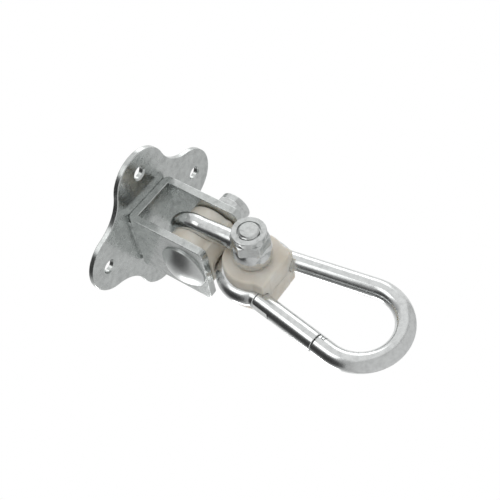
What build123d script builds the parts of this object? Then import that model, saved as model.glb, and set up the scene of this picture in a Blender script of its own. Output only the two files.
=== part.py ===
"""Hanging roof anchor: plate and clevis, two-way swivel and a snap hook.

The plate's back face is the plane Z = 0 and the anchor hangs down from it.
X runs along the pivot bolt, Y along the swivel bolt, whose nut faces -Y.
All sizes are in millimetres.
"""
from build123d import *
import os
from math import asin, atan2, cos, degrees, hypot, radians, sin, sqrt, tan

# ---- driving sizes -------------------------------------------------------
# base plate: four round lobes joined by hollow curves
plate_thickness = 3.0
lobe_radius = 18.0
lobe_distance = 29.5
waist_radius = 23.0
screw_circle = 71.0
screw_hole_radius = 3.25
screw_rim = 0.8
plate_edge_round = 0.5

# clevis bracket: one bent strip
clevis_width = 32.5
clevis_depth = 37.0
ear_thickness = 4.2
ear_length = 46.8
ear_corner = 3.5
clevis_inner_bend = 2.2
clevis_outer_bend = 3.6
strip_edge_round = 0.45
weld_angle = 45.0          # how far round the bend the weld reaches
weld_margin = 5.0

# M10 bolts and lock nuts
bolt_radius = 5.0
bolt_tip_chamfer = 0.73
bolt_stickout = 1.1
nut_flats = 17.0
nut_hex_height = 7.1
nut_height = 10.6
nut_mouth_step = 0.55      # how much wider than the bolt the collar's mouth is
collar_edge = 0.35         # the collar's rolled edge, across
collar_edge_drop = 0.5     # and along
insert_wall = 1.9
insert_thickness = 2.2
insert_lip = 1.9
dome_radius = 13.0
dome_height = 5.6
dome_rim = 0.8
low_head_radius = 8.0
low_head_height = 3.4
low_head_rim = 0.9
socket_flats = 6.0
socket_depth = 2.0
washer_radius = 10.0
washer_thickness = 2.0
washer_edge_round = 0.3

# from the plate to the pivot bolt
pivot_drop = 32.4

# sleeves and nylon bearings
sleeve_wall = 1.5
swivel_bearing_half = 11.4
pivot_flange_over = 0.2    # how far past its rod's middle each flange reaches
swivel_flange_over = 0.5
tail_inset = 2.5           # how much narrower than the flange each tail is
pivot_tail = 14.5
tail_corner = 3.5
pivot_bevel_length = 3.4
pivot_bevel_height = 6.0
flange_edge_round = 1.2

# swivel link: a round rod bent round the pivot bearing, with forged eyes
link_rod_radius = 5.0
link_bend_radius = 15.3
link_flare = 6.3
eye_radius = 10.0
eye_crown = 1.8            # how much narrower the eye is at its ends
eye_height = 9.5
leg_short_of_swivel = 2.6

# snap hook: a round rod bent to a pear-shaped loop
hook_rod_radius = 5.0
ring_radius = 15.0
neck_inside = 1.0          # inside radius of the bend between ring and leg
bow_radius = 21.0
bow_distance = 59.0
rod_end_chamfer = 0.25
leg_offset = 11.52         # from the swivel to the line of a leg's middle
hinge_past_neck = 1.2
nose_before_bow = 7.83
tongue_thickness = 4.2
tongue_root = 2.0
tongue_length = 9.8
tongue_nose = 3.0
gate_pin_from_joint = 3.6
gate_pin_radius = 1.5
gate_opening = 22.0
gate_bore_radius = 2.2
gate_nose_wall = 4.0       # left solid between the bore and the nose
finger_length = 3.0
finger_height = 1.8
tooth_length = 1.3
tooth_depth = 1.7
plunger_radius = 2.1
plunger_length = 7.0
plunger_tip_round = 1.2
spring_wire_radius = 0.32
spring_turns = 14

# ---- clearances ----------------------------------------------------------
running_gap = 0.06
thread_gap = 0.03
bolt_hole_gap = 0.2
seat_gap = 0.02
eye_gap = 0.4
split_gap = 0.05
groove_gap = 0.1
bearing_side_gap = 0.45
flange_gap = 1.6           # between the two bearings
ear_ring_gap = 1.8         # between the hook's ring and the ears
tail_pin_gap = 0.34
ring_gap = 0.7
gate_joint_gap = 0.3
nose_gap = 0.25            # left when the gate's outer corner swings past the nose
slot_gap = 0.25
latch_gap = 0.35
plunger_gap = 0.1
plunger_rest_gap = 0.25
tongue_swing_gap = 0.9
square_hole_gap = 0.1
cut_margin = 1.0           # how far a cutting tool runs past the piece it cuts

# ---- levels and places worked out from them ------------------------------
plate_front = -plate_thickness
pivot_z = plate_front - pivot_drop
ear_end = plate_front - ear_length
ear_inner = clevis_width / 2 - ear_thickness
nut_corner = nut_flats / 2 / cos(radians(30))
neck_square = 2 * bolt_radius
sleeve_radius = bolt_radius + sleeve_wall
pivot_bearing_half = ear_inner - bearing_side_gap
pivot_flange_radius = link_bend_radius + pivot_flange_over
swivel_flange_radius = ring_radius + swivel_flange_over
# the swivel bolt hangs low enough for both bearings and for the ring between the ears
ring_clear = ring_radius + hook_rod_radius + ear_ring_gap
swivel_spacing = max(pivot_flange_radius + swivel_flange_radius + flange_gap,
                     pivot_z - ear_end + sqrt(ring_clear ** 2 - ear_inner ** 2))
swivel_z = pivot_z - swivel_spacing
eye_inner = swivel_bearing_half + eye_gap
eye_outer = eye_inner + eye_height
neck_radius = hook_rod_radius + neck_inside
leg_flare = degrees(asin((bow_radius - leg_offset) / bow_distance))
neck_along = sqrt((ring_radius + neck_radius) ** 2 - (leg_offset + neck_radius) ** 2)
bow_along = bow_distance * cos(radians(leg_flare))
hinge_from_swivel = neck_along + hinge_past_neck
nose_from_swivel = bow_along - nose_before_bow
gate_bore_end = nose_from_swivel - gate_nose_wall
gate_pin_along = hinge_from_swivel + gate_pin_from_joint
tongue_end = hinge_from_swivel + tongue_length
slot_end = tongue_end + tongue_swing_gap
tongue_edge = sqrt(hook_rod_radius ** 2 - (tongue_thickness / 2) ** 2)

front = Vector(0, 0, -1)          # the direction in which the anchor hangs
nut_side = Vector(0, -1, 0)       # the side of the swivel bolt's nut


def seat(x, y, z, direction, across=None):
    """A plane at a point, facing along a bolt, with its X axis across it."""
    return Plane(origin=(x, y, z), x_dir=across or front, z_dir=direction)


def side_of(base):
    """The plane that holds a turned piece's half profile: radius, then height."""
    return Plane(origin=base.origin, x_dir=base.x_dir, z_dir=-base.y_dir)


def axis_of(base):
    return Axis(base.origin, base.z_dir)


def leg_point(side, along, out=0.0):
    """A point in the XZ plane beside a hook leg: along it, and out from its middle."""
    flare = radians(leg_flare)
    reach = leg_offset + out
    x = side * (reach * cos(flare) + along * sin(flare))
    z = swivel_z + reach * sin(flare) - along * cos(flare)
    return (x, z)


def leg_plane(along):
    """The plane across the gate leg, facing along it, away from the swivel."""
    x, z = leg_point(-1, along)
    flare = radians(leg_flare)
    return Plane(origin=(x, 0, z), x_dir=(0, 1, 0), z_dir=(-sin(flare), 0, -cos(flare)))


def toward(start, centre, length):
    """The point on the line from start through centre, at a length from start."""
    dx, dz = centre[0] - start[0], centre[1] - start[1]
    reach = hypot(dx, dz)
    return (start[0] + dx * length / reach, start[1] + dz * length / reach)


def neck_arc(side, leaving_ring):
    """The hollow bend between the hook's ring and one of its legs."""
    swivel = (0, swivel_z)
    centre = leg_point(side, neck_along, neck_radius)
    on_ring = toward(swivel, centre, ring_radius)
    on_leg = leg_point(side, neck_along)
    middle = toward(centre, ((on_ring[0] + on_leg[0]) / 2, (on_ring[1] + on_leg[1]) / 2),
                    neck_radius)
    ends = (on_ring, on_leg) if leaving_ring else (on_leg, on_ring)
    return ThreePointArc(ends[0], middle, ends[1])


def hook_ring(leg_length):
    """The hook's ring with a stretch of both legs, as a line in the XZ plane."""
    ring_top = (0, swivel_z + ring_radius)
    Line(leg_point(-1, leg_length), leg_point(-1, neck_along))
    first = neck_arc(-1, leaving_ring=False)
    last = neck_arc(1, leaving_ring=True)
    ThreePointArc(first @ 1, ring_top, last @ 0)
    Line(leg_point(1, neck_along), leg_point(1, leg_length))


def link_line(leg_length):
    """The link's rod: a half turn round the pivot, and two legs that spread a little."""
    flare = radians(link_flare)
    ends = {}
    for side in (-1, 1):
        start = (side * link_bend_radius * cos(flare), pivot_z + link_bend_radius * sin(flare))
        end = (start[0] + side * leg_length * sin(flare), start[1] - leg_length * cos(flare))
        ends[side] = (start, end)
    Line(ends[-1][1], ends[-1][0])
    ThreePointArc(ends[-1][0], (0, pivot_z + link_bend_radius), ends[1][0])
    Line(ends[1][0], ends[1][1])


def rod(base, line_maker, length, radius):
    """A round rod along a line made by line_maker, in the given plane."""
    with BuildPart() as bent:
        with BuildLine(base) as path:
            line_maker(length)
        with BuildSketch(Plane(origin=path.wire() @ 0, z_dir=path.wire() % 0)):
            Circle(radius)
        sweep()
    return bent.part


# ---- standard pieces -----------------------------------------------------
def domed_head(base, radius, height, rim):
    """A bolt head whose top is part of a ball, on a low upright rim."""
    ball = (radius ** 2 + (height - rim) ** 2) / (2 * (height - rim))
    half_height = height - ball + sqrt(ball ** 2 - (radius / 2) ** 2)
    with BuildPart() as head:
        with BuildSketch(side_of(base)):
            with BuildLine():
                Polyline((0, height), (0, 0), (radius, 0), (radius, rim))
                ThreePointArc((radius, rim), (radius / 2, half_height), (0, height))
            make_face()
        revolve(axis=axis_of(base))
    return head


def lock_nut(base):
    """A lock nut: hexagon with turned chamfers, and a collar that holds the insert."""
    collar = nut_flats / 2
    chamfer = nut_corner - collar
    insert_top = nut_height - insert_lip
    with BuildPart() as nut:
        with BuildSketch(base):
            RegularPolygon(nut_corner, 6)
        extrude(amount=nut_hex_height)
        with BuildSketch(side_of(base)):
            with BuildLine():
                Polyline((0, 0), (collar, 0), (nut_corner, chamfer / 2),
                         (nut_corner, nut_hex_height - chamfer / 2),
                         (collar, nut_hex_height), (0, nut_hex_height), close=True)
            make_face()
        revolve(axis=axis_of(base), mode=Mode.INTERSECT)
        with BuildSketch(side_of(base)):
            with BuildLine():
                rim = (collar - collar_edge, nut_height)
                Polyline(rim, (0, nut_height), (0, nut_hex_height - cut_margin),
                         (collar, nut_hex_height - cut_margin),
                         (collar, nut_height - collar_edge_drop))
                RadiusArc((collar, nut_height - collar_edge_drop), rim, -collar_edge_drop)
            make_face()
        revolve(axis=axis_of(base))
        with BuildSketch(side_of(base)):
            with BuildLine():
                hole = bolt_radius + thread_gap
                groove = bolt_radius + insert_wall
                mouth = bolt_radius + nut_mouth_step
                top = nut_height + cut_margin
                Polyline((0, -cut_margin), (hole, -cut_margin),
                         (hole, insert_top - insert_thickness),
                         (groove, insert_top - insert_thickness), (groove, insert_top),
                         (mouth, insert_top), (mouth, top), (0, top), close=True)
            make_face()
        revolve(axis=axis_of(base), mode=Mode.SUBTRACT)
    return nut


def lock_insert(base):
    """The nylon ring inside a lock nut's collar."""
    insert_top = nut_height - insert_lip
    with BuildPart() as ring:
        with BuildSketch(base.offset(insert_top - insert_thickness + seat_gap)):
            Circle(bolt_radius + insert_wall - seat_gap)
            Circle(bolt_radius + thread_gap, mode=Mode.SUBTRACT)
        extrude(amount=insert_thickness - 2 * seat_gap)
    return ring


def sleeve(middle, half_length):
    """A plain steel tube on a bolt, centred on a plane."""
    with BuildPart() as tube:
        with BuildSketch(middle):
            Circle(sleeve_radius)
            Circle(bolt_radius + running_gap, mode=Mode.SUBTRACT)
        extrude(amount=half_length - seat_gap, both=True)
    return tube


def bearing_half(middle, half_width, flange, tail, grooves, bevelled):
    """Half of a grooved nylon bearing: a round back, a squared tail and a bore.

    middle lies on the split, faces outwards, and has its X axis along the tail.
    """
    tail_half_width = flange - tail_inset
    with BuildPart() as half:
        with BuildSketch(middle.offset(split_gap)):
            Circle(flange)
            with BuildSketch(mode=Mode.PRIVATE) as squared:
                with Locations((tail / 2, 0)):
                    Rectangle(tail, 2 * tail_half_width)
                corners = squared.vertices().group_by(Axis.X)[-1]
                if not bevelled:
                    fillet(corners, tail_corner)
            add(squared.sketch)
            if bevelled:
                for side in (-1, 1):
                    with BuildLine():
                        past = tail + cut_margin
                        beside = side * (tail_half_width + cut_margin)
                        low = side * (tail_half_width - pivot_bevel_height)
                        Polyline((past, beside), (tail - pivot_bevel_length, beside),
                                 (tail - pivot_bevel_length, side * tail_half_width),
                                 (tail, low), (past, low), close=True)
                    make_face(mode=Mode.SUBTRACT)
        extrude(amount=half_width - split_gap)
        rim = half.faces().sort_by(axis_of(middle))[-1].edges()
        fillet(rim, flange_edge_round)
        with BuildSketch(middle):
            Circle(sleeve_radius + running_gap)
        extrude(amount=half_width + cut_margin, mode=Mode.SUBTRACT)
        for tool in grooves:
            add(tool, mode=Mode.SUBTRACT)
    return half


# ---- base plate ----------------------------------------------------------
os.makedirs("parts", exist_ok=True)

waist_distance = (lobe_distance + sqrt(2 * (lobe_radius + waist_radius) ** 2
                                       - lobe_distance ** 2)) / 2
waist_lean = degrees(atan2(waist_distance - lobe_distance, waist_distance))

with BuildPart() as base_plate:
    with BuildSketch(Plane.XY.offset(plate_front)):
        with BuildLine():
            for quarter in range(4):
                turn = 90 * quarter
                lobe = Vector(0, lobe_distance).rotate(Axis.Z, turn)
                waist = Vector(-waist_distance, waist_distance).rotate(Axis.Z, turn)
                CenterArc(lobe, lobe_radius, turn + waist_lean, 180 - 2 * waist_lean)
                CenterArc(waist, waist_radius, turn - waist_lean, 2 * waist_lean - 90)
        make_face()
    extrude(amount=plate_thickness)
    fillet(base_plate.faces().sort_by(Axis.Z)[0].edges(), plate_edge_round)
    fillet(base_plate.faces().sort_by(Axis.Z)[-1].edges(), plate_edge_round)
    with Locations(Plane.XY.offset(plate_front).rotated((180, 0, 0))):
        with PolarLocations(screw_circle / 2, 4):
            CounterSinkHole(screw_hole_radius, screw_hole_radius + screw_rim,
                            counter_sink_angle=90)

# ---- clevis bracket ------------------------------------------------------
with BuildPart() as clevis_bracket:
    with BuildSketch(Plane.XZ):
        with BuildLine():
            outer = clevis_width / 2
            Polyline((-outer, ear_end), (-outer, plate_front), (outer, plate_front),
                     (outer, ear_end), (ear_inner, ear_end),
                     (ear_inner, plate_front - ear_thickness),
                     (-ear_inner, plate_front - ear_thickness), (-ear_inner, ear_end),
                     close=True)
        make_face()
        fillet(vertices().group_by(Axis.Y)[-1], clevis_outer_bend)
        inner_web = plate_front - ear_thickness
        fillet(vertices().filter_by_position(Axis.Y, inner_web, inner_web), clevis_inner_bend)
    extrude(amount=clevis_depth / 2, both=True)
    free_corners = clevis_bracket.edges().filter_by(Axis.X).group_by(Axis.Z)[0]
    fillet(free_corners, ear_corner)
    outlines = [face.outer_wire().edges() for face in clevis_bracket.faces().filter_by(Axis.Y)]
    fillet([edge for outline in outlines for edge in outline], strip_edge_round)
    with BuildSketch(Plane(origin=(-ear_inner, 0, pivot_z), z_dir=(-1, 0, 0))):
        Rectangle(neck_square + 2 * square_hole_gap, neck_square + 2 * square_hole_gap)
    extrude(amount=ear_thickness, mode=Mode.SUBTRACT)
    with BuildSketch(Plane(origin=(ear_inner, 0, pivot_z), z_dir=(1, 0, 0))):
        Circle(bolt_radius + bolt_hole_gap)
    extrude(amount=ear_thickness, mode=Mode.SUBTRACT)

# two welds, each in the groove between the plate and one of the clevis bends
with BuildPart() as clevis_welds:
    for side in (-1, 1):
        with BuildSketch(Plane.XZ):
            with BuildLine():
                bend_start = (side * (clevis_width / 2 - clevis_outer_bend), plate_front)
                bend_middle = (bend_start[0], plate_front - clevis_outer_bend)
                reach = [(bend_middle[0] + side * clevis_outer_bend * sin(radians(turn)),
                          bend_middle[1] + clevis_outer_bend * cos(radians(turn)))
                         for turn in (weld_angle / 2, weld_angle)]
                Polyline(bend_start, (reach[1][0], plate_front), reach[1])
                ThreePointArc(reach[1], reach[0], bend_start)
            make_face()
        extrude(amount=clevis_depth / 2 - weld_margin, both=True)

# ---- pivot bolt and what is on it ----------------------------------------
head_seat = seat(-clevis_width / 2, 0, pivot_z, (-1, 0, 0))
washer_seat = seat(clevis_width / 2, 0, pivot_z, (1, 0, 0))
pivot_nut_seat = washer_seat.offset(washer_thickness)
pivot_bolt_end = clevis_width / 2 + washer_thickness + nut_height + bolt_stickout
pivot_head = domed_head(head_seat, dome_radius, dome_height, dome_rim)

with BuildPart() as pivot_bolt:
    add(pivot_head.part)
    with BuildSketch(Plane(origin=head_seat.origin, z_dir=(1, 0, 0))):
        Rectangle(neck_square, neck_square)
    extrude(amount=ear_thickness)
    with BuildSketch(Plane(origin=head_seat.origin, z_dir=(1, 0, 0))):
        Circle(bolt_radius)
    extrude(amount=clevis_width / 2 + pivot_bolt_end)
    tip = pivot_bolt.edges().filter_by(GeomType.CIRCLE).sort_by(Axis.X)[-1]
    chamfer(tip, bolt_tip_chamfer)

with BuildPart() as pivot_washer:
    with BuildSketch(washer_seat):
        Circle(washer_radius)
        Circle(bolt_radius + bolt_hole_gap, mode=Mode.SUBTRACT)
    extrude(amount=washer_thickness)
    fillet(pivot_washer.faces().sort_by(Axis.X)[-1].edges(), washer_edge_round)

pivot_nut = lock_nut(pivot_nut_seat)
pivot_nut_insert = lock_insert(pivot_nut_seat)
pivot_middle = seat(0, 0, pivot_z, (1, 0, 0))
pivot_sleeve = sleeve(pivot_middle, ear_inner)

# ---- swivel link ---------------------------------------------------------
link_leg_length = swivel_spacing - leg_short_of_swivel
swivel_middle = seat(0, 0, swivel_z, nut_side)

with BuildPart() as swivel_link:
    add(rod(Plane.YZ, link_line, link_leg_length, link_rod_radius))
    for side in (-1, 1):
        with BuildSketch(side_of(seat(0, 0, swivel_z, (0, side, 0)))):
            with BuildLine():
                eye_end = eye_radius - eye_crown
                Polyline((eye_end, eye_outer), (0, eye_outer), (0, eye_inner),
                         (eye_end, eye_inner))
                EllipticalCenterArc((eye_end, (eye_inner + eye_outer) / 2), eye_crown,
                                    eye_height / 2, -90, arc_size=180)
            make_face()
        revolve(axis=Axis((0, 0, swivel_z), (0, side, 0)))
        with BuildSketch(seat(0, side * eye_outer, swivel_z, (0, side, 0))):
            Circle(eye_radius + cut_margin)
        extrude(amount=link_rod_radius * 2, mode=Mode.SUBTRACT)
    with BuildSketch(swivel_middle):
        Circle(swivel_flange_radius + eye_gap)
    extrude(amount=eye_inner, both=True, mode=Mode.SUBTRACT)
    with BuildSketch(swivel_middle):
        Circle(bolt_radius + bolt_hole_gap)
    extrude(amount=eye_outer + cut_margin, both=True, mode=Mode.SUBTRACT)

# ---- swivel bolt and what is on it ---------------------------------------
swivel_nut_seat = seat(0, -eye_outer, swivel_z, nut_side, across=(1, 0, 0))
swivel_head_seat = seat(0, eye_outer, swivel_z, (0, 1, 0), across=(1, 0, 0))

swivel_head = domed_head(swivel_head_seat, low_head_radius, low_head_height, low_head_rim)

with BuildPart() as swivel_bolt:
    add(swivel_head.part)
    with BuildSketch(swivel_head_seat.offset(low_head_height)):
        RegularPolygon(socket_flats / 2, 6, major_radius=False)
    extrude(amount=-socket_depth, mode=Mode.SUBTRACT)
    with BuildSketch(Plane(origin=swivel_head_seat.origin, z_dir=nut_side)):
        Circle(bolt_radius)
    extrude(amount=2 * eye_outer + nut_height + bolt_stickout)
    tip = swivel_bolt.edges().filter_by(GeomType.CIRCLE).sort_by(Axis.Y)[0]
    chamfer(tip, bolt_tip_chamfer)

swivel_nut = lock_nut(swivel_nut_seat)
swivel_nut_insert = lock_insert(swivel_nut_seat)
swivel_sleeve = sleeve(swivel_middle, eye_inner)

# ---- nylon bearings ------------------------------------------------------
link_groove = rod(Plane.YZ, link_line, link_leg_length, link_rod_radius + groove_gap)
hook_groove = rod(Plane.XZ, hook_ring, gate_pin_along, hook_rod_radius + groove_gap)

with BuildPart() as ring_room:
    with BuildSketch(Plane.YZ):
        with Locations((0, swivel_z + ring_radius)):
            Circle(hook_rod_radius + ring_gap)
    revolve(axis=Axis((0, 0, swivel_z), (0, 1, 0)))

pivot_tools = (link_groove, ring_room.part)
pivot_bearing_near = bearing_half(seat(0, 0, pivot_z, (-1, 0, 0)), pivot_bearing_half,
                                  pivot_flange_radius, pivot_tail, pivot_tools, bevelled=True)
pivot_bearing_far = bearing_half(seat(0, 0, pivot_z, (1, 0, 0)), pivot_bearing_half,
                                 pivot_flange_radius, pivot_tail, pivot_tools, bevelled=True)

# the swivel bearing's tail stops just short of the gate's pin
swivel_tail = swivel_z - leg_point(-1, gate_pin_along)[1] - tail_pin_gap
swivel_bearing_upper = bearing_half(seat(0, 0, swivel_z, nut_side), swivel_bearing_half,
                                    swivel_flange_radius, swivel_tail, (hook_groove,),
                                    bevelled=False)
swivel_bearing_lower = bearing_half(seat(0, 0, swivel_z, -nut_side), swivel_bearing_half,
                                    swivel_flange_radius, swivel_tail, (hook_groove,),
                                    bevelled=False)

# ---- snap hook body ------------------------------------------------------
nose_face = nose_from_swivel
finger_end = nose_face + finger_length
lip_height = hook_rod_radius - finger_height


def gate_leg(points):
    """A closed outline beside the gate leg, from (along, out) pairs."""
    corners = [leg_point(-1, along, out) for along, out in points]
    Polyline(*corners, close=True)


with BuildPart() as hook_body:
    with BuildLine(Plane.XZ) as loop:
        Line(leg_point(-1, hinge_from_swivel), leg_point(-1, neck_along))
        first_neck = neck_arc(-1, leaving_ring=False)
        last_neck = neck_arc(1, leaving_ring=True)
        ThreePointArc(first_neck @ 1, (0, swivel_z + ring_radius), last_neck @ 0)
        Line(leg_point(1, neck_along), leg_point(1, bow_along))
        ThreePointArc(leg_point(1, bow_along), (0, swivel_z - bow_distance - bow_radius),
                      leg_point(-1, bow_along))
        Line(leg_point(-1, bow_along), leg_point(-1, nose_face))
    with BuildSketch(leg_plane(hinge_from_swivel)):
        Circle(hook_rod_radius)
    sweep(path=loop.wire())
    chamfer(hook_body.faces().filter_by(GeomType.PLANE).edges(), rod_end_chamfer)
    # hinge tongue
    with BuildSketch(Plane.XZ):
        with BuildLine():
            root = hinge_from_swivel - tongue_root
            gate_leg([(root, tongue_edge), (tongue_end, tongue_edge),
                      (tongue_end, -tongue_nose), (gate_pin_along + 2 * gate_pin_radius,
                                                   -tongue_edge), (root, -tongue_edge)])
        make_face()
    extrude(amount=tongue_thickness / 2, both=True)
    with BuildSketch(Plane.XZ):
        with Locations(leg_point(-1, gate_pin_along)):
            Circle(gate_pin_radius + running_gap)
    extrude(amount=hook_rod_radius, both=True, mode=Mode.SUBTRACT)
    # channel for the gate's finger, and the pocket for its tooth
    with BuildSketch(Plane.XZ):
        with BuildLine():
            before_nose = nose_face - cut_margin
            pocket_start = finger_end - tooth_length - latch_gap
            pocket_end = finger_end + latch_gap
            channel = latch_gap - lip_height
            gate_leg([(before_nose, channel), (pocket_start, channel),
                      (pocket_start, channel + tooth_depth), (pocket_end, channel + tooth_depth),
                      (pocket_end, -2 * hook_rod_radius), (before_nose, -2 * hook_rod_radius)])
        make_face()
    extrude(amount=hook_rod_radius + cut_margin, both=True, mode=Mode.SUBTRACT)

# ---- gate ----------------------------------------------------------------
gate_start = hinge_from_swivel + gate_joint_gap
nose_reach = nose_face - gate_pin_along - nose_gap
gate_face = gate_pin_along + sqrt(nose_reach ** 2 - hook_rod_radius ** 2)
gate_outside = hook_rod_radius + cut_margin
rear_slope = gate_outside * tan(radians(gate_opening))
before_gate = gate_start - cut_margin
past_gate = finger_end + cut_margin

with BuildPart() as gate:
    with BuildSketch(leg_plane(gate_start)):
        Circle(hook_rod_radius)
    extrude(amount=finger_end - gate_start)
    chamfer(gate.edges().group_by(Axis.Z)[-1], rod_end_chamfer)
    with BuildSketch(Plane.XZ):
        # everything past the face, but for the finger and its tooth
        with BuildLine():
            gate_leg([(gate_face, 2 * hook_rod_radius), (gate_face, -lip_height),
                      (finger_end - tooth_length, -lip_height),
                      (finger_end - tooth_length, -lip_height + tooth_depth),
                      (past_gate, -lip_height + tooth_depth), (past_gate, 2 * hook_rod_radius)])
        make_face()
        # the sloped part of the hinge end, which turns towards the hook's stub
        with BuildLine():
            gate_leg([(before_gate, 0), (gate_start, 0),
                      (gate_start + rear_slope, -gate_outside), (before_gate, -gate_outside)])
        make_face()
    extrude(amount=gate_outside, both=True, mode=Mode.SUBTRACT)
    face_middle = leg_plane(gate_face).origin
    face_rim = gate.edges().filter_by(GeomType.CIRCLE).filter_by(
        lambda edge: (edge.arc_center - face_middle).length < rod_end_chamfer)
    chamfer(face_rim, rod_end_chamfer)
    # slot for the tongue
    with BuildSketch(Plane.XZ):
        with BuildLine():
            gate_leg([(before_gate, gate_outside), (slot_end, gate_outside),
                      (slot_end, -gate_outside), (before_gate, -gate_outside)])
        make_face()
    extrude(amount=tongue_thickness / 2 + slot_gap, both=True, mode=Mode.SUBTRACT)
    # bore for the spring and the plunger, and the pin's hole
    with BuildSketch(leg_plane(tongue_end)):
        Circle(gate_bore_radius)
    extrude(amount=gate_bore_end - tongue_end, mode=Mode.SUBTRACT)
    with BuildSketch(Plane.XZ):
        with Locations(leg_point(-1, gate_pin_along)):
            Circle(gate_pin_radius)
    extrude(amount=2 * hook_rod_radius, both=True, mode=Mode.SUBTRACT)

with BuildPart() as gate_pin:
    with BuildSketch(Plane.XZ):
        with Locations(leg_point(-1, gate_pin_along)):
            Circle(gate_pin_radius)
    extrude(amount=gate_outside, both=True)
    with BuildSketch(leg_plane(gate_start)):
        Circle(hook_rod_radius)
    extrude(amount=2 * gate_pin_from_joint, mode=Mode.INTERSECT)

plunger_start = tongue_end + plunger_rest_gap
with BuildPart() as gate_plunger:
    with BuildSketch(leg_plane(plunger_start)):
        Circle(plunger_radius)
    extrude(amount=plunger_length)
    tip = gate_plunger.edges().filter_by(GeomType.CIRCLE).sort_by(Axis.Z)[-1]
    fillet(tip, plunger_tip_round)

spring_start = plunger_start + plunger_length + plunger_gap + spring_wire_radius
spring_end = gate_bore_end - plunger_gap - spring_wire_radius
spring_length = spring_end - spring_start
coil_radius = gate_bore_radius - spring_wire_radius - plunger_gap
with BuildPart() as gate_spring:
    coil = leg_plane(spring_start).location * Helix(spring_length / spring_turns, spring_length,
                                                    coil_radius)
    with BuildSketch(Plane(origin=coil @ 0, z_dir=coil % 0)):
        Circle(spring_wire_radius)
    sweep(path=coil, is_frenet=True)

# ---- labels and files ----------------------------------------------------
pieces = {
    "base_plate": base_plate,
    "clevis_bracket": clevis_bracket,
    "clevis_welds": clevis_welds,
    "pivot_bolt": pivot_bolt,
    "pivot_washer": pivot_washer,
    "pivot_nut": pivot_nut,
    "pivot_nut_insert": pivot_nut_insert,
    "pivot_sleeve": pivot_sleeve,
    "pivot_bearing_near": pivot_bearing_near,
    "pivot_bearing_far": pivot_bearing_far,
    "swivel_link": swivel_link,
    "swivel_bolt": swivel_bolt,
    "swivel_nut": swivel_nut,
    "swivel_nut_insert": swivel_nut_insert,
    "swivel_sleeve": swivel_sleeve,
    "swivel_bearing_upper": swivel_bearing_upper,
    "swivel_bearing_lower": swivel_bearing_lower,
    "hook_body": hook_body,
    "gate": gate,
    "gate_pin": gate_pin,
    "gate_plunger": gate_plunger,
    "gate_spring": gate_spring,
}
for name, piece in pieces.items():
    piece.part.label = name
    export_step(piece.part, f"parts/{name}.step")
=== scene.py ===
import bpy
import bmesh
import numpy as np
from math import cos, pi, radians, sin, sqrt
from mathutils import Matrix, Vector


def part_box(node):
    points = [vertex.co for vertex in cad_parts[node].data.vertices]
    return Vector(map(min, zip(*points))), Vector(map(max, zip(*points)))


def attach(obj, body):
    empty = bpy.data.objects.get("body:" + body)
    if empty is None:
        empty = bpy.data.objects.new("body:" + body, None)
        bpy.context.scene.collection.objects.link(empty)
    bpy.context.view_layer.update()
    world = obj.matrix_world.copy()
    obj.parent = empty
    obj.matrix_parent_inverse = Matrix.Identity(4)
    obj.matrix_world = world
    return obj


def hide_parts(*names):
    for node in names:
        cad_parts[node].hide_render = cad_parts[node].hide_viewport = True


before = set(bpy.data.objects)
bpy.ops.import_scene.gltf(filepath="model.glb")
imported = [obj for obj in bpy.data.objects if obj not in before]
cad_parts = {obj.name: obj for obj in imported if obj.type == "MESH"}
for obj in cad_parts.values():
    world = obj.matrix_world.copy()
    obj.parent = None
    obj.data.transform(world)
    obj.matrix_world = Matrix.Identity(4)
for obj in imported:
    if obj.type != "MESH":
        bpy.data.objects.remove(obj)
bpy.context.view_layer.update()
mm = 0.001
print("frame loaded:", len(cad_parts), "nodes")

# the two bolts' axes, from the sleeves that sit on them
pivotMiddle = sum(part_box("pivot_sleeve"), Vector()) / 2
swivelMiddle = sum(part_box("swivel_sleeve"), Vector()) / 2


viewer = {
    "place": (-0.1998, -0.3811, -0.2578),
    "right": (0.5712, 0.1133, -0.8130),
    "up": (0.6954, -0.5931, 0.4059),
    "lens": 69.2,
}


def setCamera():
    data = bpy.data.cameras.new("viewer")
    data.lens = viewer["lens"]
    data.sensor_width = 36
    data.clip_start = 0.01
    camera = bpy.data.objects.new("viewer", data)
    bpy.context.scene.collection.objects.link(camera)
    right = Vector(viewer["right"]).normalized()
    back = right.cross(Vector(viewer["up"])).normalized()
    up = back.cross(right)
    camera.matrix_world = Matrix.Translation(viewer["place"]) @ Matrix(
        (right, up, back)).transposed().to_4x4()
    bpy.context.scene.camera = camera


setCamera()
print("camera set")


def newMaterial(name):
    material = bpy.data.materials.new(name)
    material.use_nodes = True
    tree = material.node_tree
    return material, tree, tree.nodes["Principled BSDF"]


# Noise on Object coordinates: scale is in cycles per metre, stretch squeezes it along an axis.
def noiseNode(tree, scale, detail=4.0, roughness=0.55, stretch=(1, 1, 1), shift=0.0):
    place = tree.nodes.new("ShaderNodeTexCoord")
    mapping = tree.nodes.new("ShaderNodeMapping")
    mapping.inputs["Scale"].default_value = stretch
    mapping.inputs["Location"].default_value = (shift, shift * 0.7, -shift)
    noise = tree.nodes.new("ShaderNodeTexNoise")
    noise.inputs["Scale"].default_value = scale
    noise.inputs["Detail"].default_value = detail
    noise.inputs["Roughness"].default_value = roughness
    tree.links.new(place.outputs["Object"], mapping.inputs["Vector"])
    tree.links.new(mapping.outputs["Vector"], noise.inputs["Vector"])
    return noise.outputs["Fac"]


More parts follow.
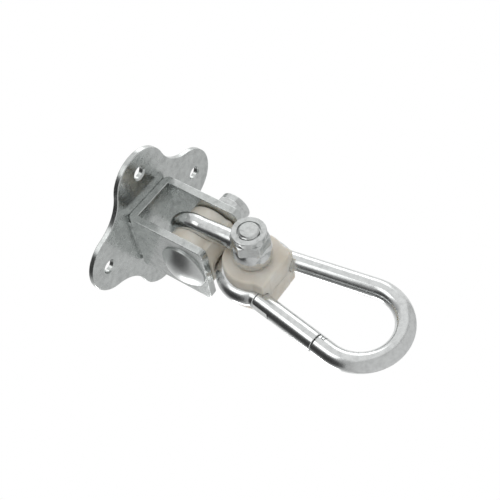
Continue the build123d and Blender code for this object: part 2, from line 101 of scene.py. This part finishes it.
# Colours from a factor: stops are (place, colour).
def rampNode(tree, factor, stops):
    ramp = tree.nodes.new("ShaderNodeValToRGB")
    ramp.color_ramp.elements[0].position = stops[0][0]
    ramp.color_ramp.elements[0].color = (*stops[0][1], 1)
    ramp.color_ramp.elements[1].position = stops[-1][0]
    ramp.color_ramp.elements[1].color = (*stops[-1][1], 1)
    for place, colour in stops[1:-1]:
        ramp.color_ramp.elements.new(place).color = (*colour, 1)
    tree.links.new(factor, ramp.inputs["Fac"])
    return ramp.outputs["Color"]


# Maps a factor's middle span to low..high.
def rangeNode(tree, factor, low, high, fromLow=0.3, fromHigh=0.7):
    span = tree.nodes.new("ShaderNodeMapRange")
    span.inputs["From Min"].default_value = fromLow
    span.inputs["From Max"].default_value = fromHigh
    span.inputs["To Min"].default_value = low
    span.inputs["To Max"].default_value = high
    tree.links.new(factor, span.inputs["Value"])
    return span.outputs["Result"]


def mixNode(tree, blend, factor, first, second):
    mix = tree.nodes.new("ShaderNodeMix")
    mix.data_type = "RGBA"
    mix.blend_type = blend
    if isinstance(factor, float):
        mix.inputs[0].default_value = factor
    else:
        tree.links.new(factor, mix.inputs[0])
    tree.links.new(first, mix.inputs[6])
    if isinstance(second, tuple):
        mix.inputs[7].default_value = (*second, 1)
    else:
        tree.links.new(second, mix.inputs[7])
    return mix.outputs[2]


# Chains bumps: heights are (factor, distance in metres, strength).
def bumpNode(tree, heights, shader):
    normal = None
    for height, distance, strength in heights:
        bump = tree.nodes.new("ShaderNodeBump")
        bump.inputs["Strength"].default_value = strength
        bump.inputs["Distance"].default_value = distance
        tree.links.new(height, bump.inputs["Height"])
        if normal:
            tree.links.new(normal, bump.inputs["Normal"])
        normal = bump.outputs["Normal"]
    tree.links.new(normal, shader.inputs["Normal"])


zincLooks = {
    # tones: dark, middle and light of the mottling; patch: its scale per metre; rough: low and high
    "plateZinc": {"tones": (0.54, 0.64, 0.71), "patch": 260.0, "rough": (0.17, 0.30),
                  "speck": (0.84, 0.97), "grain": 2400.0, "grainDepth": 0.000006,
                  "ripple": 800.0, "rippleDepth": 0.000006, "tint": (0.965, 1.0, 0.985)},
    "rodZinc": {"tones": (0.66, 0.75, 0.81), "patch": 420.0, "rough": (0.15, 0.23),
                "speck": (0.90, 0.98), "grain": 1700.0, "grainDepth": 0.000006,
                "ripple": 560.0, "rippleDepth": 0.000004, "tint": (0.975, 0.995, 0.99)},
    "fastenerZinc": {"tones": (0.56, 0.68, 0.75), "patch": 330.0, "rough": (0.16, 0.26),
                     "speck": (0.90, 0.98), "grain": 1900.0, "grainDepth": 0.000006,
                     "ripple": 560.0, "rippleDepth": 0.000003, "tint": (0.97, 0.995, 0.985)},
    "domeZinc": {"tones": (0.66, 0.72, 0.77), "patch": 330.0, "rough": (0.30, 0.38),
                 "speck": (0.90, 0.98), "grain": 1900.0, "grainDepth": 0.000006,
                 "ripple": 560.0, "rippleDepth": 0.000003, "tint": (0.97, 0.995, 0.985)},
    "innerSteel": {"tones": (0.42, 0.50, 0.58), "patch": 320.0, "rough": (0.25, 0.38),
                   "speck": (0.80, 0.96), "grain": 2200.0, "grainDepth": 0.000006,
                   "ripple": 600.0, "rippleDepth": 0.00001, "tint": (1.0, 0.99, 0.98)},
}


# Plated steel: mottled tone, uneven gloss, fine grain and the plating's faint ripple.
def zinc(name):
    look = zincLooks[name]
    material, tree, shader = newMaterial(name)
    patch = noiseNode(tree, look["patch"], detail=6.0, roughness=0.6)
    speck = noiseNode(tree, look["patch"] * 7, detail=3.0, roughness=0.7, shift=3.1)
    tones = [tuple(tone * part for part in look["tint"]) for tone in look["tones"]]
    colour = rampNode(tree, patch, [(0.34, tones[0]), (0.50, tones[1]), (0.68, tones[2])])
    low, high = look["speck"]
    specks = rampNode(tree, speck, [(0.30, (low, low, low)), (0.50, (high, high, high)),
                                    (0.74, (1.0, 1.0, 1.0))])
    tree.links.new(mixNode(tree, "MULTIPLY", 0.8, colour, specks), shader.inputs["Base Color"])
    blotch = noiseNode(tree, look["patch"] * 2.3, detail=5.0, roughness=0.65, shift=7.7)
    tree.links.new(rangeNode(tree, blotch, *look["rough"]), shader.inputs["Roughness"])
    grain = noiseNode(tree, look["grain"], detail=2.0, shift=1.3)
    ripple = noiseNode(tree, look["ripple"], detail=3.0, shift=5.9)
    bumpNode(tree, [(ripple, look["rippleDepth"], 0.5), (grain, look["grainDepth"], 0.35)], shader)
    shader.inputs["Metallic"].default_value = 1.0
    return material


nylonLook = {"dark": (0.72, 0.66, 0.56), "light": (0.83, 0.80, 0.73), "rough": (0.36, 0.50)}


# Moulded nylon: slightly cloudy, a faint flow ripple, light passes a little way in.
def nylon(name, look):
    material, tree, shader = newMaterial(name)
    cloud = noiseNode(tree, 90.0, detail=3.0)
    tree.links.new(rampNode(tree, cloud, [(0.3, look["dark"]), (0.7, look["light"])]),
                   shader.inputs["Base Color"])
    mould = noiseNode(tree, 700.0, detail=2.0, shift=2.2)
    tree.links.new(rangeNode(tree, mould, *look["rough"]), shader.inputs["Roughness"])
    flow = noiseNode(tree, 60.0, detail=2.0, stretch=(1, 5, 1), shift=4.0)
    bumpNode(tree, [(flow, 0.00015, 0.35), (mould, 0.00002, 0.4)], shader)
    shader.inputs["Subsurface Weight"].default_value = 0.35
    shader.inputs["Subsurface Radius"].default_value = (0.004, 0.0032, 0.0024)
    shader.inputs["Subsurface Scale"].default_value = 1.0
    return material


# painted shade: the nuts' nylon inserts are coloured near-black so the recess round the bolt's end
# reads dark
insertPaintedShadeLook = {"dark": (0.05, 0.055, 0.055), "light": (0.08, 0.085, 0.085), "rough": (0.35, 0.5)}
finishes = {name: zinc(name) for name in zincLooks}
finishes["bearingNylon"] = nylon("bearingNylon", nylonLook)
finishes["insertNylonPaintedShade"] = nylon("insertNylonPaintedShade", insertPaintedShadeLook)
print("materials made:", len(finishes))


# A mesh object from arrays, normals outward, smooth but for edges sharper than an angle.
def addPiece(name, points, faces, finish, sharp=35.0):
    mesh = bpy.data.meshes.new(name)
    mesh.from_pydata(points.tolist(), [], faces)
    work = bmesh.new()
    work.from_mesh(mesh)
    bmesh.ops.remove_doubles(work, verts=work.verts, dist=1e-6)
    bmesh.ops.recalc_face_normals(work, faces=work.faces)
    work.to_mesh(mesh)
    work.free()
    mesh.shade_smooth()
    mesh.set_sharp_from_angle(angle=radians(sharp))
    mesh.materials.append(finishes[finish])
    piece = bpy.data.objects.new(name, mesh)
    bpy.context.scene.collection.objects.link(piece)
    return piece


# Faces over a grid of points, rows along and columns round: each quad joins four neighbours.
# Open grids are capped with a fan about each end row's mean point; closed ones join end to start.
def skin(grid, closed=False):
    rows, columns = grid.shape[:2]
    points = grid.reshape(-1, 3)
    number = np.arange(rows * columns).reshape(rows, columns)
    beside = np.roll(number, -1, axis=1)
    if closed:
        lower, lowerBeside = number, beside
        upper, upperBeside = np.roll(number, -1, axis=0), np.roll(beside, -1, axis=0)
    else:
        lower, lowerBeside, upper, upperBeside = number[:-1], beside[:-1], number[1:], beside[1:]
    faces = np.stack([lower, lowerBeside, upperBeside, upper], -1).reshape(-1, 4).tolist()
    if not closed:
        hubs = np.stack([grid[0].mean(0), grid[-1].mean(0)])
        for hub, row in ((len(points), 0), (len(points) + 1, -1)):
            fan = np.stack([np.full(columns, hub), number[row], beside[row]], -1)
            faces += fan.tolist()
        points = np.concatenate([points, hubs])
    return points, faces


# Several skins as one set of points and faces, each one's numbers moved on by those before.
def joinSkins(skins):
    points, faces = [], []
    count = 0
    for somePoints, someFaces in skins:
        points.append(somePoints)
        faces += [[corner + count for corner in face] for face in someFaces]
        count += len(somePoints)
    return np.concatenate(points), faces


# A polyline whose inner corners are arcs: corners are (radius, height, rounding).
# Each arc starts rounding / tan(half the corner's angle) before its corner and swings about
# the point that lies the rounding away from both sides.
def roundedOutline(corners, steps=6):
    places = np.array([corner[:2] for corner in corners], float)
    out = [places[:1]]
    for i in range(1, len(corners) - 1):
        here, rounding = places[i], corners[i][2]
        before = (places[i - 1] - here) / np.linalg.norm(places[i - 1] - here)
        after = (places[i + 1] - here) / np.linalg.norm(places[i + 1] - here)
        half = np.arccos(np.clip(before @ after, -1, 1)) / 2
        if rounding == 0 or half > 1.56:
            out.append(here[None])
            continue
        reach = rounding / np.tan(half)
        centre = here + (before + after) / np.linalg.norm(before + after) * rounding / np.sin(half)
        start, end = here + before * reach - centre, here + after * reach - centre
        share = np.linspace(0, 1, steps + 1)[:, None]
        blend = start * (1 - share) + end * share
        out.append(centre + blend / np.linalg.norm(blend, axis=1, keepdims=True) * rounding)
    out.append(places[-1:])
    return np.concatenate(out)


# Adds points so that no step along an outline is longer than longest.
def spread(outline, longest):
    steps = np.linalg.norm(np.diff(outline, axis=0), axis=1)
    counts = np.maximum(np.ceil(steps / longest).astype(int), 1)
    shares = np.concatenate([np.arange(count) / count + i for i, count in enumerate(counts)])
    shares = np.append(shares, len(outline) - 1.0)
    marks = np.arange(len(outline))
    return np.stack([np.interp(shares, marks, outline[:, k]) for k in (0, 1)], -1)


# The axes of a turned piece: along its bolt, and two across it.
def boltFrame(middle, direction, across):
    along = np.array(direction, float)
    first = np.array(across, float)
    return np.array(middle, float), along, first, np.cross(along, first)


# Points at middle + height * along + radius * (cos angle * first + sin angle * second), in mm.
def turned(base, radii, heights, angles):
    middle, along, first, second = base
    radii, heights, angles = np.broadcast_arrays(radii, heights, angles)
    ring = np.cos(angles)[..., None] * first + np.sin(angles)[..., None] * second
    return middle + mm * (radii[..., None] * ring + heights[..., None] * along)


# The smaller of two lengths, rounded where they are alike: (a^-p + b^-p)^(-1/p).
def softMin(first, second, sharpness):
    return (first ** -sharpness + second ** -sharpness) ** (-1 / sharpness)


# The larger of two lengths, rounded where they are alike: (a^p + b^p)^(1/p).
def softMax(first, second, sharpness):
    return (first ** sharpness + second ** sharpness) ** (1 / sharpness)


# A hexagon's radius: half its flats over the cosine of the angle from the nearest flat.
def hexRadius(angles, flats):
    fromFlat = (angles + pi / 6) % (pi / 3) - pi / 6
    return flats / 2 / np.cos(fromFlat)


nut = {"flats": 17.0, "hexHeight": 7.1, "height": 10.6, "bore": 5.05, "mouth": 5.75,
       "collarEdge": 0.4, "insertTop": 8.7, "corner": 9.75, "facing": 0.72, "columns": 288,
       # roundings of the edges, the longest step along the profile, and the crease's angle
       "seatRound": 0.15, "coneRound": 0.25, "neckRound": 0.2, "insertRound": 0.1,
       "step": 0.22, "crease": 28.0}
# a hexagon cuts a turned profile where its radius is within reach of the flats
hexCut = {"reach": 0.4, "softness": 90.0}


# A hexagon cut by two cones, with a rolled collar: radius = the smaller of profile and hexagon.
def makeNut(name, node, body, base):
    half = nut["flats"] / 2
    profile = roundedOutline([
        (nut["bore"], 0.0, 0), (half - nut["seatRound"], 0.0, nut["seatRound"]),
        (nut["corner"], nut["facing"], nut["coneRound"]),
        (nut["corner"], nut["hexHeight"] - nut["facing"], nut["coneRound"]),
        (half, nut["hexHeight"], nut["neckRound"]), (half, nut["height"], nut["collarEdge"]),
        (nut["mouth"], nut["height"], nut["seatRound"]),
        (nut["mouth"], nut["insertTop"], nut["insertRound"]),
        (nut["bore"], nut["insertTop"], 0)], steps=8)
    profile = spread(profile, nut["step"])
    angles = np.arange(nut["columns"]) * 2 * pi / nut["columns"]
    radii, heights = profile[:, :1], profile[:, 1:]
    onHex = (heights < nut["hexHeight"]) & (radii > half - hexCut["reach"])
    hexagon = hexRadius(angles, nut["flats"])[None]
    cut = softMin(radii + 0 * hexagon, hexagon + 0 * radii, hexCut["softness"])
    radii = np.where(onHex, cut, radii)
    points, faces = skin(turned(base, radii, heights, angles[None]), closed=True)
    piece = addPiece(name, points, faces, "fastenerZinc", sharp=nut["crease"])
    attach(piece, body)
    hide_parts(node)


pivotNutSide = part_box("pivot_nut")[0]
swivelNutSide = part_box("swivel_nut")[1]
pivotNutBase = boltFrame((pivotNutSide.x, 0, pivotMiddle.z), (1, 0, 0), (0, 1, 0))
swivelNutBase = boltFrame((0, swivelNutSide.y, swivelMiddle.z), (0, -1, 0), (0, 0, -1))
makeNut("pivotLockNut", "pivot_nut", "anchor", pivotNutBase)
# the swivel nut stands with a flat straight down the anchor, as it was tightened
makeNut("swivelLockNut", "swivel_nut", "link", swivelNutBase)
print("nuts made")


thread = {"pitch": 1.5, "depth": 0.75, "radius": 5.0, "columns": 144, "rowsPerPitch": 14,
          "tipChamfer": 0.73, "runOut": 0.5, "pivotThread": 18, "swivelThread": 20,
          # the groove's wave: its height at the middle and its slope
          "wavePeak": 1.15, "waveSlope": 3.0, "crease": 32.0}
dome = {"radius": 13.0, "height": 5.6, "rim": 0.8, "neck": 4.2, "neckCorner": 6.6}
lowHead = {"radius": 8.0, "height": 3.4, "rim": 0.9, "socketFlats": 6.0, "socketDepth": 2.0}


# The shank's radius less a triangle wave of the height left after turning the helix back.
# The groove fades in over one pitch at start and runs out at the end.
def threadRadius(heights, angles, start, end):
    turn = (heights / thread["pitch"] - angles / (2 * pi)) % 1.0
    groove = np.clip(thread["wavePeak"] - np.abs(turn - 0.5) * thread["waveSlope"], 0, 1)
    groove = groove * thread["depth"]
    fade = np.clip((heights - start) / thread["pitch"], 0, 1)
    return thread["radius"] - groove * fade * (heights < end)


# A head profile carried on into a threaded shank; the columns run round the bolt.
def makeBolt(name, node, body, base, headRows, shankStart, length, threadStart, headShape, finish):
    angles = (np.arange(thread["columns"]) * 2 * pi / thread["columns"])[None]
    headRadii, headHeights = headRows[:, :1], headRows[:, 1:]
    headRadii = headShape(headRadii, headHeights, angles)
    shank = np.arange(shankStart, length, thread["pitch"] / thread["rowsPerPitch"])[:, None]
    shankRadii = threadRadius(shank, angles, threadStart, length - thread["runOut"])
    chamfer = thread["tipChamfer"]
    tip = thread["radius"] - chamfer
    nearEnd = np.clip((length - shank) / chamfer, 0, 1) * chamfer + tip
    shankRadii = np.minimum(shankRadii, nearEnd)
    endRows = np.array([[tip, length], [tip - 0.25, length + 0.04]])
    radii = np.concatenate([headRadii, shankRadii, endRows[:, :1] + 0 * angles])
    heights = np.concatenate([headHeights + 0 * angles, shank + 0 * angles,
                              endRows[:, 1:] + 0 * angles])
    points, faces = skin(turned(base, radii, heights, angles))
    piece = addPiece(name, points, faces, finish, sharp=thread["crease"])
    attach(piece, body)
    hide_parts(node)


# A ball's cap on a thin rim: height = cap height - ball + root(ball^2 - radius^2), from inner out
def domeRows(head, inner):
    rise = head["height"] - head["rim"]
    ball = (head["radius"] ** 2 + rise ** 2) / (2 * rise)
    radii = inner + (head["radius"] - 0.35 - inner) * np.linspace(0, 1, 60) ** 0.8
    cap = np.stack([radii, -(head["height"] - ball + np.sqrt(ball ** 2 - radii ** 2))], -1)
    rim = roundedOutline([cap[-1].tolist() + [0], (head["radius"], cap[-1][1] + 0.3, 0.3),
                          (head["radius"], 0.0, 0.12), (thread["radius"] + 1.0, 0.0, 0)])
    return np.concatenate([cap, rim[1:]])


# Dome head over a square neck, whose radius is the half side over the larger of |cos| and |sin|
def makePivotBolt():
    low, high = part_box("pivot_bolt")
    length = (high.x - low.x) / mm - dome["height"]
    base = boltFrame((low.x + dome["height"] * mm, 0, pivotMiddle.z), (1, 0, 0), (0, 0, -1))
    neckEnd = dome["neck"]
    neck = np.linspace(0.0, neckEnd, 6)
    rows = np.concatenate([domeRows(dome, 0.02), np.stack([0 * neck + thread["radius"], neck], -1)])

    def squareNeck(rowRadii, heights, angles):
        square = thread["radius"] / np.maximum(np.abs(np.cos(angles)), np.abs(np.sin(angles)))
        onNeck = (rowRadii <= thread["radius"]) & (heights >= 0) & (heights < neckEnd)
        return np.where(onNeck, np.minimum(square, dome["neckCorner"]), rowRadii)

    makeBolt("pivotDomeBolt", "pivot_bolt", "anchor", base, rows, neckEnd + 0.1, length,
             length - thread["pivotThread"], squareNeck, "domeZinc")


# Low round head with a hexagon socket: the socket's wall follows the hexagon's radius
def makeSwivelBolt():
    low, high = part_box("swivel_bolt")
    length = (high.y - low.y) / mm - lowHead["height"]
    base = boltFrame((0, high.y - lowHead["height"] * mm, swivelMiddle.z), (0, -1, 0), (0, 0, -1))
    top, socket = -lowHead["height"], lowHead["socketFlats"] / 2
    cap = domeRows(lowHead, socket + 0.6)
    floor = top + lowHead["socketDepth"]
    inside = np.array([[0.02, floor + 0.3], [socket * 0.5, floor + 0.2], [socket, floor],
                       [socket, cap[0][1] + 0.25], [socket + 0.12, cap[0][1] + 0.05]])
    rows = np.concatenate([inside, cap, [[thread["radius"], 0.0]]])

    def socketShape(rowRadii, heights, angles):
        share = np.clip(rowRadii / socket, 0, 1)
        hexagon = hexRadius(angles, lowHead["socketFlats"]) - socket
        return rowRadii + np.where(rowRadii < socket + 0.2, share * hexagon, 0.0)

    makeBolt("swivelLowHeadBolt", "swivel_bolt", "link", base, rows, 0.1, length,
             length - thread["swivelThread"], socketShape, "fastenerZinc")


makePivotBolt()
makeSwivelBolt()
print("bolts made")


link = {"rod": 5.0, "bend": 15.3, "flare": 6.3, "eyeRadius": 10.0, "eyeEnd": 8.2, "bore": 5.2,
        "stop": 7.6, "flat": 0.93, "voxel": 0.38, "smooth": 9}


# A round section carried along a path: point + radius * (cos t * side + sin t * up).
# The side vector is the path's direction crossed with up; flatten squeezes it row by row.
def tube(path, radius, flatten, up):
    step = np.gradient(path, axis=0)
    step /= np.linalg.norm(step, axis=1, keepdims=True)
    side = np.cross(step, up)
    side /= np.linalg.norm(side, axis=1, keepdims=True)
    turn = np.linspace(0, 2 * pi, 64, endpoint=False)
    ring = (np.cos(turn)[None, :, None] * side[:, None] * flatten[:, None, None]
            + np.sin(turn)[None, :, None] * np.array(up, float))
    return path[:, None] + radius * ring


# A bent rod and two crowned eyes, joined as one forged body and smoothed at the joins.
def makeLink():
    flare = radians(link["flare"])
    low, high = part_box("swivel_link")
    eyeOuter = high.y / mm
    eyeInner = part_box("swivel_sleeve")[1].y / mm
    spacing = (pivotMiddle.z - swivelMiddle.z) / mm
    turn = np.linspace(-flare, pi + flare, 120)
    bend = np.stack([0 * turn, link["bend"] * np.cos(turn), link["bend"] * np.sin(turn)], -1)
    legLength = (spacing - link["stop"] + link["bend"] * sin(flare)) / cos(flare)
    along = np.linspace(legLength, 0, 60, endpoint=False)
    leg = np.stack([0 * along, link["bend"] * cos(flare) + along * sin(flare),
                    -link["bend"] * sin(flare) - along * cos(flare)], -1)
    left = leg[::-1] * np.array([1, -1, 1])
    path = np.concatenate([leg, bend, left])
    drop = -path[:, 2]
    flatten = 1 - (1 - link["flat"]) * np.clip((drop - spacing * 0.45) / (spacing * 0.4), 0, 1)
    rod = tube(path * mm, link["rod"] * mm, flatten, (1, 0, 0))
    rod[..., 2] += pivotMiddle.z
    skins = [skin(rod)]
    for side in (-1, 1):
        base = boltFrame((0, 0, swivelMiddle.z), (0, side, 0), (0, 0, -1))
        middle, half = (eyeInner + eyeOuter) / 2, (eyeOuter - eyeInner) / 2
        share = np.linspace(-1, 1, 40)
        crown = link["eyeEnd"] + (link["eyeRadius"] - link["eyeEnd"]) * np.sqrt(
            np.clip(1 - share ** 2, 0, 1))
        wall = np.stack([crown, middle + share * half], -1)
        bore = np.array([[link["bore"], eyeOuter], [link["bore"], eyeInner]])
        profile = spread(np.concatenate([wall, bore, wall[:1]]), 0.5)[:-1]
        angles = np.linspace(0, 2 * pi, 128, endpoint=False)[None]
        skins.append(skin(turned(base, profile[:, :1], profile[:, 1:], angles), closed=True))
    points, faces = joinSkins(skins)
    piece = addPiece("swivelLinkForged", points, faces, "rodZinc", sharp=60.0)
    remesh = piece.modifiers.new("forge", "REMESH")
    remesh.mode = "VOXEL"
    remesh.voxel_size = link["voxel"] * mm
    remesh.use_smooth_shade = True
    blend = piece.modifiers.new("blend", "SMOOTH")
    blend.factor = 0.5
    blend.iterations = link["smooth"]
    applyModifiers(piece)
    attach(piece, "link")
    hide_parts("swivel_link")


# Bakes a piece's modifiers into its mesh.
def applyModifiers(piece):
    graph = bpy.context.evaluated_depsgraph_get()
    mesh = bpy.data.meshes.new_from_object(piece.evaluated_get(graph))
    piece.modifiers.clear()
    piece.data = mesh
    mesh.shade_smooth()


makeLink()
print("link made")


bearing = {"round": 1.2, "bore": 6.58, "boreEdge": 0.35, "split": 0.05,
           "columns": 480, "grooveGap": 0.1, "rodRadius": 5.0,
           # how sharply two shapes meet: the plain tail's corners, flats, back and groove
           "cornerSoft": 26.0, "flatSoft": 90.0, "backSoft": 70.0, "grooveSoft": 60.0}
pivotShape = {"flange": 15.5, "tail": 14.5, "half": 13.0, "bevelLength": 3.4, "bevelHeight": 6.0,
              "width": 11.6, "ring": 15.3, "flare": 6.3, "neck": 0.0, "offset": 15.3}
swivelShape = {"flange": 15.5, "tail": 13.97, "half": 13.0, "bevelLength": 0.0, "bevelHeight": 0.0,
               "width": 11.4, "ring": 15.0, "flare": 9.25, "neck": 6.0, "offset": 11.52}
ringRoom = {"ring": 15.0, "radius": 5.7}


# The round back joined to the squared tail: distance to each flat side over the cosine from it.
def bearingOutline(shape, angles):
    alongPart, acrossPart = np.cos(angles), np.abs(np.sin(angles))
    far = np.full_like(angles, 99.0)
    end = np.where(alongPart > 0.05, shape["tail"] / np.maximum(alongPart, 0.05), far)
    side = np.where(acrossPart > 0.05, shape["half"] / np.maximum(acrossPart, 0.05), far)
    tail = softMin(end, side, bearing["flatSoft" if shape["bevelLength"] else "cornerSoft"])
    if shape["bevelLength"]:
        lean = np.arctan2(shape["bevelLength"], shape["bevelHeight"])
        reach = ((shape["tail"] - shape["bevelLength"]) * np.cos(lean)
                 + shape["half"] * np.sin(lean))
        toward = alongPart * np.cos(lean) + acrossPart * np.sin(lean)
        bevel = np.where(toward > 0.05, reach / np.maximum(toward, 0.05), far)
        tail = softMin(tail, bevel, bearing["flatSoft"])
    tail = np.where(alongPart > 0.02, tail, 1.0)
    back = np.where(alongPart > 0, np.minimum(shape["flange"], end), shape["flange"])
    return softMax(back, tail, bearing["backSoft"])


# How far out the rod's groove leaves material, for a groove reaching in by reach.
# Round the back it is ring - reach; beyond the ring it follows the rod's hollow neck, where
# radius = c cos(d) - root(r^2 - c^2 sin(d)^2), and then the straight leg,
# (offset - reach) / sin(angle - flare).
def grooveRadius(shape, angles, reach):
    flare = radians(shape["flare"])
    turn = np.abs((angles + pi) % (2 * pi) - pi)
    leg = (shape["offset"] - reach) / np.maximum(np.sin(np.clip(turn - flare, 0.02, pi / 2)), 0.02)
    if shape["neck"] == 0:
        return np.where(turn > pi / 2 + flare, shape["ring"] - reach, leg)
    far = shape["ring"] + shape["neck"]
    neckOut = shape["offset"] + shape["neck"]
    neckAlong = sqrt(far ** 2 - neckOut ** 2)
    neckTurn = np.arctan2(neckOut, neckAlong) + flare
    apart = far * np.sin(turn - neckTurn)
    neck = far * np.cos(turn - neckTurn) - np.sqrt(
        np.maximum((shape["neck"] + reach) ** 2 - apart ** 2, 0))
    legTurn = np.arctan2(shape["offset"] - reach, neckAlong) + flare
    return np.where(turn > neckTurn, shape["ring"] - reach, np.where(turn > legTurn, neck, leg))


# Keeps the tail clear of the hook's ring, a round rod bent about the other bolt.
# Its near side is at spacing - root((ring + root(r^2 - across^2))^2 - height^2) along the tail.
def carveRing(radii, heights, angles, spacing):
    for _ in range(4):
        across = radii * np.sin(angles)
        inside = np.maximum(ringRoom["radius"] ** 2 - across ** 2, 0)
        rod = (ringRoom["ring"] + np.sqrt(inside)) ** 2 - heights ** 2
        limit = spacing - np.sqrt(np.maximum(rod, 0))
        facing = (np.cos(angles) > 0.3) & (inside > 0) & (rod > 0)
        radii = np.where(facing, np.minimum(radii, limit / np.maximum(np.cos(angles), 0.3)), radii)
    return radii


# Half a bearing, out from the split: split face, grooved wall, rounded edge, face and bore.
def makeBearing(name, node, body, base, shape, ringSpacing=None):
    angles = (np.arange(bearing["columns"]) * 2 * pi / bearing["columns"])[None]
    groove = bearing["rodRadius"] + bearing["grooveGap"]
    width, edge = shape["width"], bearing["round"]
    inGroove = groove * np.sin(np.linspace(0.01, pi / 2, 22))
    onWall = np.linspace(groove + 0.05, width - edge, 14)
    onEdge = width - edge + edge * np.sin(np.linspace(0.1, pi / 2, 10))
    heights = np.concatenate([inGroove, onWall, onEdge])[:, None]
    outline = bearingOutline(shape, angles)
    tuck = np.maximum(heights - (width - edge), 0)
    wall = outline - (edge - np.sqrt(np.maximum(edge ** 2 - tuck ** 2, 0)))
    reach = np.sqrt(np.maximum(groove ** 2 - heights ** 2, 0))
    cut = grooveRadius(shape, angles + 0 * heights, reach)
    radii = np.where(heights < groove, softMin(wall, cut, bearing["grooveSoft"]), wall)
    if ringSpacing:
        radii = carveRing(radii, heights, angles + 0 * heights, ringSpacing)
    share = np.linspace(0, 1, 14)[:, None]
    boreEdge = bearing["bore"] + bearing["boreEdge"]
    topRadii = radii[-1:] * (1 - share[1:]) + boreEdge * share[1:]
    splitRadii = bearing["bore"] * (1 - share[:-1]) + radii[:1] * share[:-1]
    radii = np.concatenate([splitRadii, radii, topRadii, bearing["bore"] + 0 * angles])
    heights = np.concatenate([0 * share[:-1] + bearing["split"],
                              np.maximum(heights, bearing["split"]),
                              0 * share[1:] + width, [[width - bearing["boreEdge"]]]])
    points, faces = skin(turned(base, radii, heights + 0 * angles, angles), closed=True)
    piece = addPiece(name, points, faces, "bearingNylon", sharp=50.0)
    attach(piece, body)
    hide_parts(node)


axisSpacing = (pivotMiddle.z - swivelMiddle.z) / mm
for side, word in ((-1, "Near"), (1, "Far")):
    makeBearing(f"pivotBearing{word}Moulded", f"pivot_bearing_{word.lower()}", "link",
                boltFrame(pivotMiddle, (side, 0, 0), (0, 0, -1)), pivotShape, axisSpacing)
for side, word in ((-1, "Upper"), (1, "Lower")):
    makeBearing(f"swivelBearing{word}Moulded", f"swivel_bearing_{word.lower()}", "hook",
                boltFrame(swivelMiddle, (0, side, 0), (0, 0, -1)), swivelShape)
print("bearings made")


nodeFinishes = {
    "plateZinc": ("base_plate", "clevis_bracket", "clevis_welds"),
    "fastenerZinc": ("pivot_washer",),
    "rodZinc": ("hook_body", "gate", "gate_pin"),
    "innerSteel": ("pivot_sleeve", "swivel_sleeve", "gate_plunger", "gate_spring"),
    # the inserts take the near-black painted-shade finish for the dark recess in each nut's mouth
    "insertNylonPaintedShade": ("pivot_nut_insert", "swivel_nut_insert"),
}
for finish, names in nodeFinishes.items():
    for node in names:
        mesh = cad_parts[node].data
        mesh.materials.clear()
        mesh.materials.append(finishes[finish])
print("finishes set")


studio = {
    "floorLevel": -0.42, "floorHalf": 3.0,
    # the room is pale but for one dark side; share is the direction's part towards it
    "darkSide": (-0.91, -0.02, 0.42),
    "room": ((0.20, 0.88), (0.50, 0.56), (0.76, 0.38), (0.89, 0.09), (1.0, 0.05)),
    "lights": {
        # name: (place, size, power)
        "frontBox": ((-0.42, -0.80, 0.30), 0.50, 1.0),
        "topBox": ((0.75, -0.35, 0.30), 0.46, 0.8),
        "domeBox": ((-0.30, 0.75, 0.14), 0.26, 1.2),
    },
}


def makeFloor():
    half, level = studio["floorHalf"], studio["floorLevel"]
    mesh = bpy.data.meshes.new("floor")
    mesh.from_pydata([(-half, -half, level), (half, -half, level), (half, half, level),
                      (-half, half, level)], [], [(0, 1, 2, 3)])
    material, tree, shader = newMaterial("paleFloor")
    shader.inputs["Base Color"].default_value = (0.86, 0.86, 0.86, 1)
    shader.inputs["Roughness"].default_value = 0.7
    mesh.materials.append(material)
    floor = bpy.data.objects.new("floor", mesh)
    bpy.context.scene.collection.objects.link(floor)


# A pale room with a dark side: brightness falls with the direction's share towards that side.
def makeWorld():
    world = bpy.data.worlds.new("studio")
    bpy.context.scene.world = world
    world.use_nodes = True
    tree = world.node_tree
    place = tree.nodes.new("ShaderNodeTexCoord")
    share = tree.nodes.new("ShaderNodeVectorMath")
    share.operation = "DOT_PRODUCT"
    share.inputs[1].default_value = Vector(studio["darkSide"]).normalized()
    tree.links.new(place.outputs["Generated"], share.inputs[0])
    grey = [(stop, (level, level, level)) for stop, level in studio["room"]]
    room = rampNode(tree, share.outputs["Value"], grey)
    seen = tree.nodes.new("ShaderNodeLightPath")
    colour = mixNode(tree, "MIX", seen.outputs["Is Camera Ray"], room, (1.0, 1.0, 1.0))
    tree.links.new(colour, tree.nodes["Background"].inputs["Color"])


def makeLights():
    target = (pivotMiddle + swivelMiddle) / 2
    for name, (place, size, power) in studio["lights"].items():
        data = bpy.data.lights.new(name, "AREA")
        data.shape = "SQUARE"
        data.size = size
        data.energy = power
        light = bpy.data.objects.new(name, data)
        bpy.context.scene.collection.objects.link(light)
        light.location = place
        light.rotation_euler = (target - Vector(place)).to_track_quat("-Z", "Y").to_euler()


makeFloor()
makeWorld()
makeLights()
bpy.context.scene.view_settings.view_transform = "Standard"
print("studio lit")
